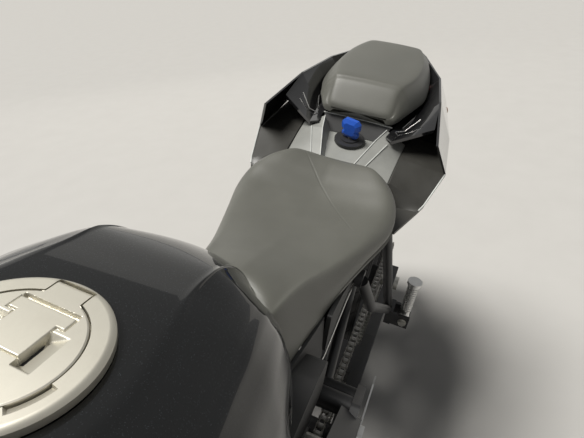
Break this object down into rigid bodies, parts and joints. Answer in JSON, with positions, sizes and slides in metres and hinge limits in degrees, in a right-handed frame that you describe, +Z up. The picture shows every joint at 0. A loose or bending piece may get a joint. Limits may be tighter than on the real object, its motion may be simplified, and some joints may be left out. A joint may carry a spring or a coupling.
{
  "type": "standard motorcycle",
  "caption": "Road motorcycle with an open engine, single rider seat and raised passenger pad; wheels roll, bars steer, stand, filler lid and passenger rests fold. Leans on its side stand.",
  "frame": {"origin": "on the ground, under the middle of the leaning machine's bounding box", "axes": "+X forward, +Y to the rider's left, +Z up"},
  "size_m": [2.0647, 0.821, 1.2634],
  "materials": {
    "tyre": "road rubber",
    "wheel_paint": "satin black",
    "disc_steel": "ground",
    "sprocket_steel": "machined",
    "chain_steel": "oiled",
    "fork_black": "black anodised",
    "fork_chrome": "polished",
    "cast_black": "satin cast black",
    "bolt_steel": "zinc plated",
    "caliper_paint": "satin black",
    "bar_black": "satin black",
    "grip_rubber": "ribbed",
    "lever_black": "satin black",
    "black_plastic": "moulded grain",
    "gloss_black": "gloss",
    "lamp_lens": "clear",
    "amber_lens": "ribbed lens",
    "frame_paint": "satin black",
    "shock_body": "anodised",
    "spring_paint": "silver paint",
    "engine_paint": "satin black cast",
    "engine_cover": "satin grey cast",
    "radiator_alloy": "black core",
    "exhaust_steel": "heat tinted",
    "muffler_steel": "brushed",
    "tank_paint": "gloss with fine flake",
    "cap_alloy": "matte anodised",
    "seat_vinyl": "smooth vinyl",
    "tail_grey": "satin",
    "lock_black": "black",
    "key_blue": "moulded",
    "tail_dark": "satin",
    "red_lens": "lens",
    "blank_plate": "blank",
    "rest_alloy": "cast",
    "peg_alloy": "machined",
    "stand_black": "satin black"
  },
  "bodies": {
    "chassis": {"frame": "frame_paint", "swingarm": "frame_paint", "rear_axle": "bolt_steel", "shock": "shock_body", "shock_spring": "spring_paint", "chain": "chain_steel", "gearbox_sprocket": "sprocket_steel", "engine": "engine_paint", "airbox": "black_plastic", "radiator": "radiator_alloy", "exhaust_pipes": "exhaust_steel", "muffler": "muffler_steel", "tank": "tank_paint", "filler_ring": "cap_alloy", "rider_seat": "seat_vinyl", "pillion_pad": "seat_vinyl", "tail_console": "tail_grey", "seat_lock": "lock_black", "key": "key_blue", "tail_wings": "gloss_black", "tail_sides": "tail_dark", "side_covers": "black_plastic", "tail_lamp": "red_lens", "number_plate": "blank_plate", "rear_indicators": "amber_lens", "passenger_hangers": "frame_paint", "fixings": "bolt_steel", "engine_covers": "engine_cover", "rear_guard": "black_plastic", "rear_caliper": "caliper_paint", "rider_rests": "rest_alloy"},
    "steering": {"fork_outers": "fork_black", "fork_inners": "fork_chrome", "fork_feet": "cast_black", "front_axle": "bolt_steel", "front_calipers": "caliper_paint", "yokes": "cast_black", "handlebar": "bar_black", "grips": "grip_rubber", "hand_levers": "lever_black", "mirrors": "black_plastic", "front_mudguard": "gloss_black", "headlamp": "black_plastic", "headlamp_lens": "lamp_lens", "headlamp_stays": "cast_black", "dash": "black_plastic", "front_indicators": "amber_lens"},
    "front_wheel": {"front_tyre": "tyre", "front_rim": "wheel_paint", "front_discs": "disc_steel"},
    "rear_wheel": {"rear_tyre": "tyre", "rear_rim": "wheel_paint", "rear_disc": "disc_steel", "rear_sprocket": "sprocket_steel"},
    "side_stand": {"side_stand": "stand_black"},
    "filler_lid": {"filler_lid": "cap_alloy"},
    "passenger_peg_left": {"passenger_peg_left": "peg_alloy"},
    "passenger_peg_right": {"passenger_peg_right": "peg_alloy"}
  },
  "joints": [
    {"name": "steering_turn", "type": "hinge", "parent": "chassis", "child": "steering", "pos_m": [0.42503, -0.04848, 0.8621], "axis": [-0.4226, 0.1574, 0.8925], "range_deg": [-30, 30]},
    {"name": "front_wheel_spin", "type": "hinge", "parent": "steering", "child": "front_wheel", "pos_m": [0.7325, -0.14813, 0.297], "axis": [0, 0.9848, -0.1736], "continuous": true},
    {"name": "rear_wheel_spin", "type": "hinge", "parent": "chassis", "child": "rear_wheel", "pos_m": [-0.7175, -0.14552, 0.31177], "axis": [0, 0.9848, -0.1736], "continuous": true},
    {"name": "side_stand_swing", "type": "hinge", "parent": "chassis", "child": "side_stand", "pos_m": [0.0015, -0.0216, 0.21986], "axis": [0, 0.9336, 0.3584], "range_deg": [0, 85]},
    {"name": "filler_lid_swing", "type": "hinge", "parent": "chassis", "child": "filler_lid", "pos_m": [0.19534, -0.02691, 0.98447], "axis": [0, -0.9848, 0.1736], "range_deg": [0, 95]},
    {"name": "passenger_peg_left_fold", "type": "hinge", "parent": "chassis", "child": "passenger_peg_left", "pos_m": [-0.3805, 0.07719, 0.48066], "axis": [-1, 0, 0], "range_deg": [0, 90]},
    {"name": "passenger_peg_right_fold", "type": "hinge", "parent": "chassis", "child": "passenger_peg_right", "pos_m": [-0.3805, -0.29704, 0.54665], "axis": [1, 0, 0], "range_deg": [0, 90]}
  ]
}
